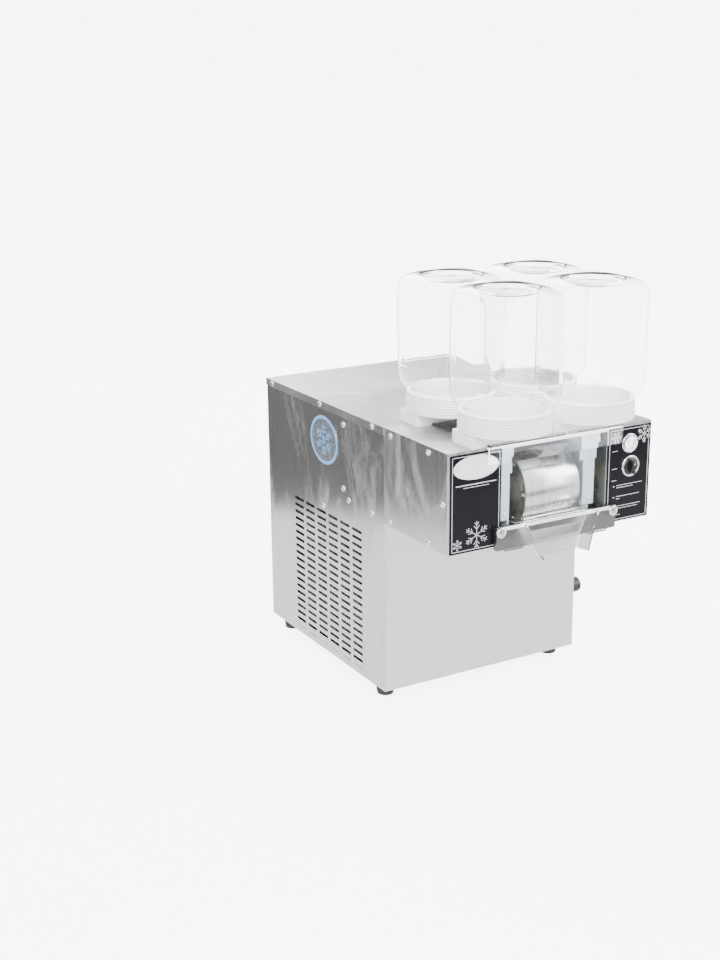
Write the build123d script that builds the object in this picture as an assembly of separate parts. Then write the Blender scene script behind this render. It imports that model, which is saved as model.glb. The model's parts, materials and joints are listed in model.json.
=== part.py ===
from build123d import *
import math
import os

# Countertop machine that turns milk or syrup into thin sheets of shaved "snow" ice.
# Four jars stand upside down on a drip cover and feed a freezing drum in the hood.
# Built with X to the right, Y to the back from the body's front face, and Z up from the floor.
# Every part is shifted at the end, so that the origin is the bottom centre of the overall box.

os.makedirs("parts", exist_ok=True)

# ---- driving dimensions, mm ----
WIDTH = 360.0            # body and hood, side to side
DEPTH = 384.0            # body, front face to back
HOOD_REACH = 170.0       # how far the hood stands out from the body
FOOT_HEIGHT = 20.0
BODY_HEIGHT = 422.0      # body without its feet
HOOD_HEIGHT = 148.0
SHEET = 1.2              # sheet steel
GAP = 0.3                # between curved faces that move past each other
RUNNING = 0.05           # radial clearance of a running fit

LID_FLANGE = 12.0
SLOT_LENGTH = 31.0       # vent slots in the side panels
SLOT_HEIGHT = 5.0
VENT_COLUMNS = 6
VENT_ROWS = 20
VENT_PITCH_Y = 38.3
VENT_PITCH_Z = 11.9
VENT_CENTRE_Y = 178.9
VENT_CENTRE_Z = 145.5

OPENING_LEFT = -90.0     # window in the front of the hood
OPENING_RIGHT = 97.0
OPENING_BOTTOM = 299.0
OPENING_TOP = 436.0
PANEL_THICK = 1.0        # printed panels on the hood's front

DRUM_RADIUS = 58.0
DRUM_LEFT = -44.0
DRUM_RIGHT = 52.0
DRUM_WALL = 4.0
DRUM_Y = -110.0
DRUM_Z = 357.0
SHAFT_RADIUS = 10.0
SIDE_PLATE_LEFT = -75.0  # outer face of the plate left of the drum
SIDE_PLATE_RIGHT = 67.0
SIDE_PLATE_THICK = 3.0

LINER_LEFT_BACK = -150.0     # how far back the steel returns of the window go
LINER_RIGHT_BACK = -128.0
STRIP_FRONT = -166.0     # plastic strips on the front edges of the side plates
STRIP_THICK = 3.0
STRIP_BOTTOM = 328.0
STRIP_TOP = 436.0
STRIP_STEP = 397.0       # above this the strips are wider
PLATE_BACK = -30.0
PLATE_TOP = 422.0        # the feed tray rests on the side plates
TRAY_HALF = 88.0
TRAY_FRONT = -162.0
TRAY_BACK = -4.0
TRAY_NOTCH = -58.0       # front of the channel behind the drum
TRAY_GUTTER = 26.0       # width of the gutters beside the drum
TRAY_HEIGHT = 12.0
TRAY_WALL = 2.0

COVER_LEFT = -113.0      # clear drip cover on the hood
COVER_RIGHT = 123.0
COVER_FRONT = -175.0
COVER_BACK = 32.0
COVER_THICK = 3.0
COVER_FLAP = 26.5

JAR_SPACING_X = 148.4
JAR_SPACING_Y = 138.6
JAR_CENTRE_Y = -84.5
JAR_SIDE = 130.0
JAR_CORNER = 30.0
JAR_TOP = 660.0
JAR_WALL = 1.5
NECK_RADIUS = 59.0
CAP_RADIUS = 66.4
CAP_HEIGHT = 30.0
SEAT_HEIGHT = 15.0

BAR_LEFT = -102.0        # bar that carries the scraper blade
BAR_RIGHT = 111.0
BAR_THICK = 4.2
BAR_TOP = 324.0
BLADE_THICK = 1.2

FAN_RADIUS = 95.0
FAN_Y = 180.0
FAN_Z = 146.0
SIDE_SCREW_HEAD = 2.2
SIDE_SCREWS = (          # (Y, Z) of the screws in each side
    (-122, 433), (-19, 433), (-160, 367), (-123, 300), (-18, 301.5),
    (122, 419), (124, 316), (35, 300), (107, 301), (190, 270),
)
DRAIN_REACH = 24.0       # how far the drain plug stands out on the right
CHUTE_DEPTH = 22.0       # cheeks of the chute
CHUTE_FLARE = 0.27       # how much the cheeks open towards the front
CHUTE_LEAN = 7.0

STUD_LEFT = -96.0        # studs that hold the blade bar
STUD_RIGHT = 104.0
STUD_Z = 317.0
BUTTON_X = 138.2
BUTTON_Z = 413.0
KNOB_X = 141.0
KNOB_Z = 377.5

COMPRESSOR = (70.0, 150.0)
COMPRESSOR_TOP = 206.0
CONDENSER_X = (-172.0, -130.0)
CONDENSER_Y = (60.0, 300.0)
FAN_MOTOR_BACK = -50.0
SUCTION_X = 95.0
LIQUID_X = 120.0
HOSE_X = 46.0
HOSE_Z = 304.0
DRAIN_Y = 22.0
DRAIN_Z = 116.0
INLET_X = 120.0
INLET_Z = 70.0

# ---- sizes that follow from them ----
HALF = WIDTH / 2
BODY_TOP = FOOT_HEIGHT + BODY_HEIGHT
HOOD_TOP = BODY_TOP
HOOD_FLOOR = HOOD_TOP - HOOD_HEIGHT
PANEL_FACE = -HOOD_REACH - PANEL_THICK
CHUTE_BACK = PANEL_FACE - BAR_THICK - GAP
COVER_TOP = BODY_TOP + COVER_THICK
CAP_BOTTOM = COVER_TOP + SEAT_HEIGHT
CAP_TOP = CAP_BOTTOM + CAP_HEIGHT
JAR_CENTRES = {
    "front_left": (-JAR_SPACING_X / 2, JAR_CENTRE_Y - JAR_SPACING_Y / 2),
    "front_right": (JAR_SPACING_X / 2, JAR_CENTRE_Y - JAR_SPACING_Y / 2),
    "rear_left": (-JAR_SPACING_X / 2, JAR_CENTRE_Y + JAR_SPACING_Y / 2),
    "rear_right": (JAR_SPACING_X / 2, JAR_CENTRE_Y + JAR_SPACING_Y / 2),
}
FRONT_REACH = JAR_SPACING_Y / 2 + CAP_RADIUS - JAR_CENTRE_Y
LEFT_REACH = HALF + SHEET + SIDE_SCREW_HEAD
RIGHT_REACH = HALF + DRAIN_REACH
BACK_REACH = DEPTH + SHEET + SIDE_SCREW_HEAD
SHIFT = Pos(-(RIGHT_REACH - LEFT_REACH) / 2, -(BACK_REACH - FRONT_REACH) / 2, 0)


def box(x0, x1, y0, y1, z0, z1):
    """Block between two corners."""
    centre = Pos((x0 + x1) / 2, (y0 + y1) / 2, (z0 + z1) / 2)
    return centre * Box(x1 - x0, y1 - y0, z1 - z0)


def rod(axis, start, end, u, v, radius):
    """Cylinder along an axis; u and v are its other two coordinates in X, Y, Z order."""
    length = end - start
    middle = (start + end) / 2
    if axis == "X":
        return Pos(middle, u, v) * Rot(0, 90, 0) * Cylinder(radius, length)
    if axis == "Y":
        return Pos(u, middle, v) * Rot(90, 0, 0) * Cylinder(radius, length)
    return Pos(u, v, middle) * Cylinder(radius, length)


def ring(axis, start, end, u, v, outer, inner):
    """Tube along an axis."""
    return rod(axis, start, end, u, v, outer) - rod(axis, start, end, u, v, inner)


def save(name, *shapes):
    """Write one node; several shapes become a group of separate solids."""
    placed = [SHIFT * shape for shape in shapes]
    whole = placed[0] if len(placed) == 1 else Compound(children=placed)
    export_step(whole, f"parts/{name}.step")


def tube(points, radius, bend):
    """Round tube of straight runs joined by tangent arcs."""
    path = FilletPolyline(*points, radius=bend)
    section = Plane(origin=path @ 0, z_dir=path % 0) * Circle(radius)
    return sweep(section, path=path)


# ---- base, feet and casing ----
def make_base():
    inner = HALF - SHEET
    low = FOOT_HEIGHT
    pan = box(-inner, inner, SHEET, DEPTH - SHEET, low, low + 16)
    pan -= box(-inner + SHEET, inner - SHEET, 2 * SHEET, DEPTH - 2 * SHEET, low + SHEET, low + 16)
    save("base_pan", pan)
    feet = []
    for x in (-158, 158):
        for y in (36, 352):
            foot = Pos(x, y, FOOT_HEIGHT / 2) * Cone(13, 16, FOOT_HEIGHT)
            recess = rod("Z", 0, 4, x, y, 6)
            feet.append(foot - recess)
    save("rubber_feet", *feet)


def vented_side(x0):
    slots = GridLocations(VENT_PITCH_Y, VENT_PITCH_Z, VENT_COLUMNS, VENT_ROWS)
    face = Pos(DEPTH / 2, FOOT_HEIGHT + (BODY_HEIGHT - SHEET) / 2) * Rectangle(DEPTH, BODY_HEIGHT - SHEET)
    face -= Pos(VENT_CENTRE_Y, VENT_CENTRE_Z) * slots * SlotOverall(SLOT_LENGTH, SLOT_HEIGHT)
    return extrude(Plane.YZ.offset(x0) * face, SHEET)


def make_casing():
    inner = HALF - SHEET
    save("left_side_panel", vented_side(-HALF))
    right = vented_side(inner)
    right -= rod("X", inner, HALF, DRAIN_Y, DRAIN_Z, 8)
    save("right_side_panel", right)

    front = box(-inner, inner, 0, SHEET, FOOT_HEIGHT, BODY_TOP - SHEET)
    for x, z, radius in ((HOSE_X, HOSE_Z, 8), (SUCTION_X, DRUM_Z, 6), (LIQUID_X, DRUM_Z, 6)):
        front -= rod("Y", 0, SHEET, x, z, radius)
    save("front_panel", front)

    height = BODY_HEIGHT - SHEET
    sheet = Pos(0, FOOT_HEIGHT + height / 2) * Rectangle(2 * inner, height)
    sheet -= Pos(0, 190) * GridLocations(42, 12, 6, 5) * SlotOverall(34, 5)
    sheet -= Pos(INLET_X, INLET_Z) * Rectangle(28, 22)
    rear = extrude(Plane.XZ.offset(-DEPTH) * sheet, SHEET)
    save("rear_panel", rear)

    out = HALF + SHEET
    lid = box(-out, out, 0, DEPTH + SHEET, BODY_TOP - LID_FLANGE, BODY_TOP)
    lid -= box(-HALF, HALF, 0, DEPTH, BODY_TOP - LID_FLANGE, BODY_TOP - SHEET)
    save("top_lid", lid)


# ---- hood ----
def make_hood():
    inner = HALF - SHEET
    front = -HOOD_REACH
    top = HOOD_TOP - SHEET
    save("hood_left_side", box(-HALF, -inner, front, 0, HOOD_FLOOR, top))
    save("hood_right_side", box(inner, HALF, front, 0, HOOD_FLOOR, top))
    face = box(-inner, inner, front, front + SHEET, HOOD_FLOOR, top)
    face -= box(OPENING_LEFT, OPENING_RIGHT, front, front + SHEET, OPENING_BOTTOM, OPENING_TOP)
    face -= rod("Y", front, front + SHEET, BUTTON_X, BUTTON_Z, 11.3)
    face -= rod("Y", front, front + SHEET, KNOB_X, KNOB_Z, 11.3)
    for x in (STUD_LEFT, STUD_RIGHT):
        face += rod("Y", front - 15, front, x, STUD_Z, 2.5)
    face += box(OPENING_LEFT - SHEET, OPENING_LEFT, front, LINER_LEFT_BACK, OPENING_BOTTOM, OPENING_TOP)
    face += box(OPENING_RIGHT, OPENING_RIGHT + SHEET, front, LINER_RIGHT_BACK, OPENING_BOTTOM, OPENING_TOP)
    save("hood_front", face)
    roof = box(-HALF, HALF, front, 0, top, HOOD_TOP)
    for x, y in JAR_CENTRES.values():
        roof -= rod("Z", top, HOOD_TOP, x, y, 11)
    save("hood_top", roof)
    floor = box(-inner, inner, front + SHEET, 0, HOOD_FLOOR, HOOD_FLOOR + SHEET)
    save("hood_floor", floor)


def make_panels():
    low = HOOD_FLOOR
    left = box(-HALF + 4.5, OPENING_LEFT, PANEL_FACE, -HOOD_REACH, low, low + 144)
    left -= rod("Y", PANEL_FACE, -HOOD_REACH, STUD_LEFT, STUD_Z, 3)
    save("left_graphic_panel", left)
    right = box(99, HALF - 1.5, PANEL_FACE, -HOOD_REACH, low, low + 144)
    right -= rod("Y", PANEL_FACE, -HOOD_REACH, BUTTON_X, BUTTON_Z, 11.3)
    right -= rod("Y", PANEL_FACE, -HOOD_REACH, KNOB_X, KNOB_Z, 11.3)
    right -= rod("Y", PANEL_FACE, -HOOD_REACH, STUD_RIGHT, STUD_Z, 3)
    save("right_graphic_panel", right)
    oval = Pos(185, 380) * Ellipse(45, 39.5)
    badge = extrude(Plane.YZ.offset(-HALF - 0.8) * oval, 0.8)
    save("oval_badge", badge)


# ---- screws ----
def side_screw(x, y, z, side):
    """Pan head that stands out of a side panel."""
    head = rod("X", 0, SIDE_SCREW_HEAD, 0, 0, 4.7)
    head = fillet(head.faces().sort_by(Axis.X)[-1].edges(), 1.6)
    if side < 0:
        head = mirror(head, about=Plane.YZ)
    return Pos(x, y, z) * head


def make_screws():
    screws = []
    for side in (-1, 1):
        for y in (32, 196, 362):
            screws.append(side_screw(side * (HALF + SHEET), y, BODY_TOP - 5.5, side))
        for y, z in SIDE_SCREWS:
            screws.append(side_screw(side * HALF, y, z, side))
    for x in (-150, 0, 150):
        back = Rot(0, 0, 90) * side_screw(0, 0, 0, 1)
        screws.append(Pos(x, DEPTH + SHEET, BODY_TOP - 5.5) * back)
        screws.append(Pos(x, DEPTH, FOOT_HEIGHT + 8) * back)
    save("panel_screws", *screws)


# ---- drum bay ----
def side_plate(inner_face, outer_face, lower_strip, upper_strip):
    """Upright plate beside the drum, with a stepped strip along its front edge."""
    low = HOOD_FLOOR + SHEET
    plate = box(inner_face, outer_face, STRIP_FRONT, PLATE_BACK, low, PLATE_TOP)
    strip_back = STRIP_FRONT + STRIP_THICK
    plate += box(*lower_strip, STRIP_FRONT, strip_back, STRIP_BOTTOM, STRIP_STEP)
    plate += box(*upper_strip, STRIP_FRONT, strip_back, STRIP_STEP, STRIP_TOP)
    return plate - rod("X", inner_face - 1, outer_face + 1, DRUM_Y, DRUM_Z, 16)


def tray_block(inset, low, high):
    """U-shaped block: a gutter down each side of the drum and a channel behind it."""
    side = TRAY_HALF - inset
    block = box(-side, side, TRAY_FRONT + inset, TRAY_BACK - inset, low, high)
    notch = TRAY_HALF - TRAY_GUTTER + inset
    return block - box(-notch, notch, TRAY_FRONT, TRAY_NOTCH + inset, low, high)


def make_drum_bay():
    left = side_plate(SIDE_PLATE_LEFT, SIDE_PLATE_LEFT + SIDE_PLATE_THICK, (-87, -72), (-87, -68))
    save("left_side_plate", left)
    right = side_plate(SIDE_PLATE_RIGHT - SIDE_PLATE_THICK, SIDE_PLATE_RIGHT, (59, 79), (53, 82))
    save("right_side_plate", right)
    bearings = []
    for start in (SIDE_PLATE_LEFT - 3, SIDE_PLATE_RIGHT - 5):
        bush = ring("X", start, start + 8, DRUM_Y, DRUM_Z, 15.95, SHAFT_RADIUS + RUNNING)
        bearings.append(bush)
    save("drum_bearings", *bearings)

    trough = box(-70, 62, -156, -22, HOOD_FLOOR + SHEET, 332)
    trough -= box(-68, 60, -154, -24, HOOD_FLOOR + SHEET + 2, 332)
    trough -= box(-70, 62, -156, -150, 318, 332)
    trough -= rod("Y", -24, -22, HOSE_X, HOSE_Z, 4.5)
    save("milk_trough", trough)

    tray_top = PLATE_TOP + TRAY_HEIGHT
    tray = tray_block(0, PLATE_TOP, tray_top) - tray_block(TRAY_WALL, PLATE_TOP + TRAY_WALL, tray_top)
    tray -= rod("Z", PLATE_TOP, PLATE_TOP + TRAY_WALL, 0, -34, 6)
    spout = ring("Z", 326, PLATE_TOP, 0, -34, 8, 6)
    save("feed_tray", tray + spout)


# ---- drum and its drive ----
def make_drum():
    shell = ring("X", DRUM_LEFT, DRUM_RIGHT, DRUM_Y, DRUM_Z, DRUM_RADIUS, DRUM_RADIUS - DRUM_WALL)
    for start in (DRUM_LEFT, DRUM_RIGHT - 3):
        shell += ring("X", start, start + 3, DRUM_Y, DRUM_Z, DRUM_RADIUS - 1, SHAFT_RADIUS + RUNNING)
    save("drum_shell", shell)
    shaft = rod("X", -114, 80, DRUM_Y, DRUM_Z, SHAFT_RADIUS)
    shaft += rod("X", -98, -82, DRUM_Y, DRUM_Z, 15)
    save("drum_shaft", shaft)

    gearbox = box(-140, -102, -145, -75, DRUM_Z - 35, DRUM_Z + 35)
    gearbox = fillet(gearbox.edges().filter_by(Axis.X), 8)
    motor = rod("X", -176, -140, DRUM_Y, DRUM_Z, 30)
    bore = rod("X", -116, -102, DRUM_Y, DRUM_Z, SHAFT_RADIUS + RUNNING)
    save("drum_gearmotor", gearbox + motor - bore)

    union = rod("X", 72, 105, DRUM_Y, DRUM_Z, 14)
    union += rod("Y", DRUM_Y, -90, SUCTION_X, DRUM_Z, 7)
    union -= rod("X", 72, 82, DRUM_Y, DRUM_Z, SHAFT_RADIUS + RUNNING)
    save("rotary_union", union)


# ---- blade, its bar and the chute ----
def make_blade():
    back = PANEL_FACE
    bar = box(BAR_LEFT, BAR_RIGHT, back - BAR_THICK, back, HOOD_FLOOR, BAR_TOP)
    bar -= box(-60, 52, back - BAR_THICK, back, HOOD_FLOOR, HOOD_FLOOR + 4)
    for x in (STUD_LEFT, STUD_RIGHT):
        bar -= rod("Y", back - BAR_THICK, back, x, STUD_Z, 3)
    for x0, x1 in ((-97, -80), (76, 90)):
        bar += box(x0, x1, back - 2, back, HOOD_FLOOR - 8, HOOD_FLOOR)
        bar += box(x0, x1, back - 9, back - 2, HOOD_FLOOR - 8, HOOD_FLOOR - 6)
    save("blade_bar", bar)
    edge_y = DRUM_Y - math.sqrt(DRUM_RADIUS ** 2 - (DRUM_Z - BAR_TOP) ** 2) - 0.5
    outline = Polyline(
        (back - BAR_THICK, BAR_TOP),
        (edge_y, BAR_TOP),
        (edge_y - 3, BAR_TOP + BLADE_THICK),
        (back - BAR_THICK, BAR_TOP + BLADE_THICK),
        close=True,
    )
    blade = extrude(Plane.YZ.offset(-68) * make_face(outline), 128)
    save("scraper_blade", blade)

    for name, x in (("left_bar_knob", STUD_LEFT), ("right_bar_knob", STUD_RIGHT)):
        knob = rod("Y", back - BAR_THICK - 9, back - BAR_THICK, x, STUD_Z, 8)
        knob = fillet(knob.faces().sort_by(Axis.Y)[0].edges(), 2)
        save(name, knob - rod("Y", back - 30, back, x, STUD_Z, 2.5 + RUNNING))


def channel(inset, depth):
    """Tapering block with trapezoid top and bottom, wider at the front."""
    top = BAR_TOP + BLADE_THICK + 1
    bottom = HOOD_FLOOR - 22
    sections = []
    for z, left, right, back in ((top, -58, 60, CHUTE_BACK), (bottom, -32, 38, CHUTE_BACK - CHUTE_LEAN)):
        flare = (depth - inset) * CHUTE_FLARE
        outline = Polyline(
            (left + inset, back - inset, z),
            (right - inset, back - inset, z),
            (right - inset + flare, back - depth, z),
            (left + inset - flare, back - depth, z),
            close=True,
        )
        sections.append(make_face(outline))
    return loft(sections, ruled=True)


def make_chute():
    wall = 2.0
    chute = channel(0, CHUTE_DEPTH) - channel(wall, CHUTE_DEPTH + 8)
    seat = BAR_TOP + BLADE_THICK
    lip = box(-58, 60, CHUTE_BACK - wall, PANEL_FACE + 1, seat, seat + 6)
    save("ice_chute", chute + lip)


# ---- controls ----
def make_controls():
    front = PANEL_FACE
    bezels = []
    for x, z, outer, inner in ((BUTTON_X, BUTTON_Z, 14.75, 11.6), (KNOB_X, KNOB_Z, 16.25, 12.6)):
        rim = ring("Y", front - 3.5, front, x, z, outer, inner)
        rim = chamfer(rim.faces().sort_by(Axis.Y)[0].edges().filter_by(GeomType.CIRCLE), 0.9)
        seat = ring("Y", front - 1, front, x, z, inner, 4.3)
        barrel = ring("Y", front, front + 42, x, z, 10.8, 4.3)
        bezels.append(rim + seat + barrel)
    save("switch_bezels", *bezels)

    button = rod("Y", front - 6.5, front - 4.2, BUTTON_X, BUTTON_Z, 11.3)
    button = fillet(button.faces().sort_by(Axis.Y)[0].edges(), 1.5)
    button += rod("Y", front - 4.2, front + 20, BUTTON_X, BUTTON_Z, 4)
    save("push_button", button)

    knob = rod("Y", front - 4, front - 1.3, KNOB_X, KNOB_Z, 12.2)
    knob += box(KNOB_X - 4, KNOB_X + 4, front - 12, front - 4, KNOB_Z - 11, KNOB_Z + 11)
    knob += rod("Y", front - 1.3, front + 20, KNOB_X, KNOB_Z, 4.25)
    save("selector_knob", knob)


# ---- drip cover, seats and jars ----
def make_cover():
    back = COVER_BACK
    cover = box(COVER_LEFT, COVER_RIGHT, COVER_FRONT, back, BODY_TOP, COVER_TOP)
    flap_bottom = COVER_TOP - COVER_THICK - COVER_FLAP
    cover += box(COVER_LEFT, COVER_RIGHT, COVER_FRONT, COVER_FRONT + COVER_THICK, flap_bottom, COVER_TOP)
    for x, y in JAR_CENTRES.values():
        cover -= rod("Z", BODY_TOP, COVER_TOP, x, y, 10)
    save("drip_cover", cover)

    seats = []
    for name, (x, y) in JAR_CENTRES.items():
        side = -1 if x < 0 else 1
        y0, y1 = (-168, -116) if "front" in name else (-26, 26)
        heel = COVER_LEFT - 0.5 if side < 0 else COVER_RIGHT + 0.5
        seat = box(min(side, side * 138), max(side, side * 138), y0, y1, COVER_TOP, CAP_BOTTOM)
        seat += box(min(heel, side * 138), max(heel, side * 138), y0, y1, BODY_TOP, CAP_BOTTOM)
        seat = fillet(seat.edges().filter_by(Axis.Z).group_by(Axis.X)[0 if side < 0 else -1], 3)
        if side > 0:
            corner = make_face(Polyline((91, y0), (138, y0), (138, y0 + 28), close=True))
            seat -= extrude(Pos(0, 0, BODY_TOP) * corner, CAP_BOTTOM - BODY_TOP)
        seat -= rod("Z", BODY_TOP, CAP_BOTTOM, x, y, 9)
        seat += box(x - 9.5, x + 9.5, y - 1.5, y + 1.5, COVER_TOP + 1, COVER_TOP + 4)
        seat += rod("Z", COVER_TOP + 3, CAP_BOTTOM - 5, x, y, 1.5)
        seats.append(seat)
    save("seat_blocks", *seats)


def rounded_square(side, corner, z):
    return Pos(0, 0, z) * RectangleRounded(side, side, corner)


def jar_volume(inset, top):
    """Square jar standing on its neck, drawn in by a wall thickness."""
    shoulder = loft([
        Pos(0, 0, CAP_TOP + 1) * Circle(NECK_RADIUS - inset),
        rounded_square(118 - 2 * inset, 50, CAP_TOP + 12),
        rounded_square(JAR_SIDE - 2 * inset, JAR_CORNER, CAP_TOP + 28),
    ])
    body = extrude(rounded_square(JAR_SIDE - 2 * inset, JAR_CORNER, CAP_TOP + 28), top - CAP_TOP - 28)
    body = fillet(body.faces().sort_by(Axis.Z)[-1].edges(), 14)
    return shoulder + body


def make_jars():
    neck = rod("Z", CAP_BOTTOM + 4.2, CAP_TOP + 1, 0, 0, NECK_RADIUS)
    hollow = rod("Z", CAP_BOTTOM + 4.2, CAP_TOP + 1, 0, 0, NECK_RADIUS - JAR_WALL)
    punt = Pos(0, 0, JAR_TOP) * Cylinder(46, 8)
    jar = jar_volume(0, JAR_TOP) + neck - punt
    inside = jar_volume(JAR_WALL, JAR_TOP - 4 - JAR_WALL) + hollow
    jar -= inside

    cap = rod("Z", CAP_BOTTOM, CAP_TOP, 0, 0, CAP_RADIUS)
    cap = chamfer(cap.edges().filter_by(GeomType.CIRCLE), 1.2)
    for z in (8, 14, 20):
        cap -= ring("Z", CAP_BOTTOM + z, CAP_BOTTOM + z + 2, 0, 0, CAP_RADIUS + 1, CAP_RADIUS - 1)
    cap -= rod("Z", CAP_BOTTOM + 4, CAP_TOP, 0, 0, NECK_RADIUS + 0.6)
    cap += rod("Z", CAP_BOTTOM - 8, CAP_BOTTOM + 1, 0, 0, 8.4)
    cap -= rod("Z", CAP_BOTTOM - 8, CAP_BOTTOM + 4, 0, 0, 6)

    lift = 4.0
    valve = rod("Z", CAP_BOTTOM - 4.8, CAP_BOTTOM + 4 + lift, 0, 0, 3)
    valve += rod("Z", CAP_BOTTOM + 4 + lift, CAP_BOTTOM + 7 + lift, 0, 0, 10)
    for name, (x, y) in JAR_CENTRES.items():
        place = Pos(x, y, 0)
        save(f"jar_{name}", place * jar)
        save(f"cap_{name}", place * cap)
        save(f"valve_{name}", place * valve)


# ---- refrigeration and electrics ----
def make_compressor():
    x, y = COMPRESSOR
    base = FOOT_HEIGHT + SHEET
    plate = box(x - 75, x + 75, y - 75, y + 75, base + 12, base + 15)
    can = rod("Z", base + 15, COMPRESSOR_TOP, x, y, 62)
    can = fillet(can.faces().sort_by(Axis.Z)[-1].edges(), 22)
    box_on_side = box(x + 45, x + 74, y - 22, y + 22, base + 80, base + 140)
    save("compressor", plate + can + box_on_side)
    mounts = []
    for dx in (-64, 64):
        for dy in (-64, 64):
            mounts.append(rod("Z", base, base + 12, x + dx, y + dy, 10))
    save("compressor_mounts", *mounts)


def make_condenser():
    x0, x1 = CONDENSER_X
    y0, y1 = CONDENSER_Y
    z0, z1 = 31, 261
    rows = 8
    pitch = (z1 - z0) / rows
    fins = 26
    parts = []
    for i in range(fins):
        y = y0 + 4 + i * (y1 - y0 - 8) / (fins - 1)
        parts.append(box(x0, x1, y - 0.6, y + 0.6, z0, z1))
    parts.append(box(x0, x1, y0, y0 + 1.5, z0 - 9.8, z1))
    parts.append(box(x0, x1, y1 - 1.5, y1, z0 - 9.8, z1))
    middle = (x0 + x1) / 2
    for i in range(rows):
        parts.append(rod("Y", y0 - 1, y1, middle, z0 + (i + 0.5) * pitch, 4.8))
    whole = parts[0].fuse(*parts[1:])
    save("condenser", whole)


def make_fan():
    plate_x = CONDENSER_X[1] + 2
    shroud = box(plate_x, plate_x + SHEET, 62, 298, 31, 261)
    shroud -= rod("X", plate_x, plate_x + SHEET, FAN_Y, FAN_Z, FAN_RADIUS + 6)
    for y0 in (68, 286):
        shroud += box(plate_x, FAN_MOTOR_BACK, y0, y0 + 6, FAN_Z - 9, FAN_Z + 9)
    shroud += box(FAN_MOTOR_BACK, FAN_MOTOR_BACK + 3, 68, 292, FAN_Z - 9, FAN_Z + 9)
    save("fan_shroud", shroud)

    motor = rod("X", -96, FAN_MOTOR_BACK, FAN_Y, FAN_Z, 38)
    motor = fillet(motor.edges().filter_by(GeomType.CIRCLE), 4)
    motor -= rod("X", -96, -84, FAN_Y, FAN_Z, 4 + RUNNING)
    save("fan_motor", motor)

    rotor = rod("X", -122, -104, FAN_Y, FAN_Z, 24) + rod("X", -104, -86, FAN_Y, FAN_Z, 4)
    for i in range(5):
        blade = Pos(0, 0, 24 + (FAN_RADIUS - 24) / 2 - 2) * Rot(0, 0, 60) * Box(46, 2, FAN_RADIUS - 20)
        rotor += Pos(-113, FAN_Y, FAN_Z) * Rot(72 * i, 0, 0) * blade
    save("fan_rotor", rotor)


def make_pipes():
    x, y = COMPRESSOR
    middle = sum(CONDENSER_X) / 2
    back = CONDENSER_Y[1]
    hot = tube([(x, y, COMPRESSOR_TOP), (x, y, 232), (x, 322, 232), (middle, 322, 232), (middle, back, 232)], 4, 9)
    cool = tube([(middle, back, 60), (middle, 330, 60), (middle, 330, 90), (-90, 330, 90)], 4, 10)
    up = tube([(20, 330, 90), (LIQUID_X, 330, 90), (LIQUID_X, 330, DRUM_Z), (LIQUID_X, DRUM_Y, DRUM_Z),
               (105, DRUM_Y, DRUM_Z)], 4, 7)
    back_pipe = tube([(SUCTION_X, -90, DRUM_Z), (SUCTION_X, y, DRUM_Z), (SUCTION_X, y, COMPRESSOR_TOP)], 4.8, 14)
    save("copper_pipes", hot, cool, up, back_pipe)
    drier = rod("X", -90, 20, 330, 90, 13)
    drier = fillet(drier.edges().filter_by(GeomType.CIRCLE), 6)
    save("filter_drier", drier)


def make_electrics():
    case = box(-150, 30, DEPTH - SHEET - 110, DEPTH - SHEET, 300, 400)
    case = fillet(case.edges().filter_by(Axis.Y), 6)
    save("control_box", case)
    back = DEPTH
    inlet = box(INLET_X - 25, INLET_X + 25, back, back + 3, INLET_Z - 15, INLET_Z + 15)
    inlet += box(INLET_X - 13.5, INLET_X + 13.5, back - 22, back, INLET_Z - 10.5, INLET_Z + 10.5)
    inlet -= box(INLET_X - 12, INLET_X + 12, back - 16, back + 3, INLET_Z - 8, INLET_Z + 8)
    for dx, dz in ((-7, -3), (0, 1), (7, -3)):
        inlet += box(INLET_X + dx - 1, INLET_X + dx + 1, back - 17, back - 6, INLET_Z + dz - 2, INLET_Z + dz + 2)
    save("power_inlet", inlet)


def make_drain():
    end = 158
    hose = tube([(HOSE_X, -22, HOSE_Z), (HOSE_X, DRAIN_Y, HOSE_Z), (HOSE_X, DRAIN_Y, DRAIN_Z), (end, DRAIN_Y, DRAIN_Z)],
                6, 14)
    save("drain_hose", hose)
    fitting = rod("X", end, HALF, DRAIN_Y, DRAIN_Z, 7.9)
    fitting += rod("X", HALF, HALF + 3, DRAIN_Y, DRAIN_Z, 13)
    fitting -= rod("X", end + 4, HALF + 3, DRAIN_Y, DRAIN_Z, 5.5)
    save("drain_fitting", fitting)
    grip = rod("X", HALF + 3.5, HALF + DRAIN_REACH, DRAIN_Y, DRAIN_Z, 12.5)
    grip = fillet(grip.edges().filter_by(GeomType.CIRCLE), 3)
    save("drain_plug", grip + rod("X", HALF - 14, HALF + 4, DRAIN_Y, DRAIN_Z, 5.5 - GAP))


make_base()
make_casing()
make_hood()
make_panels()
make_screws()
make_drum_bay()
make_drum()
make_blade()
make_chute()
make_controls()
make_cover()
make_jars()
make_compressor()
make_condenser()
make_fan()
make_pipes()
make_electrics()
make_drain()
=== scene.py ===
import bmesh
import bpy
import json
import math
from mathutils import Matrix, Quaternion, Vector

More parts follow.
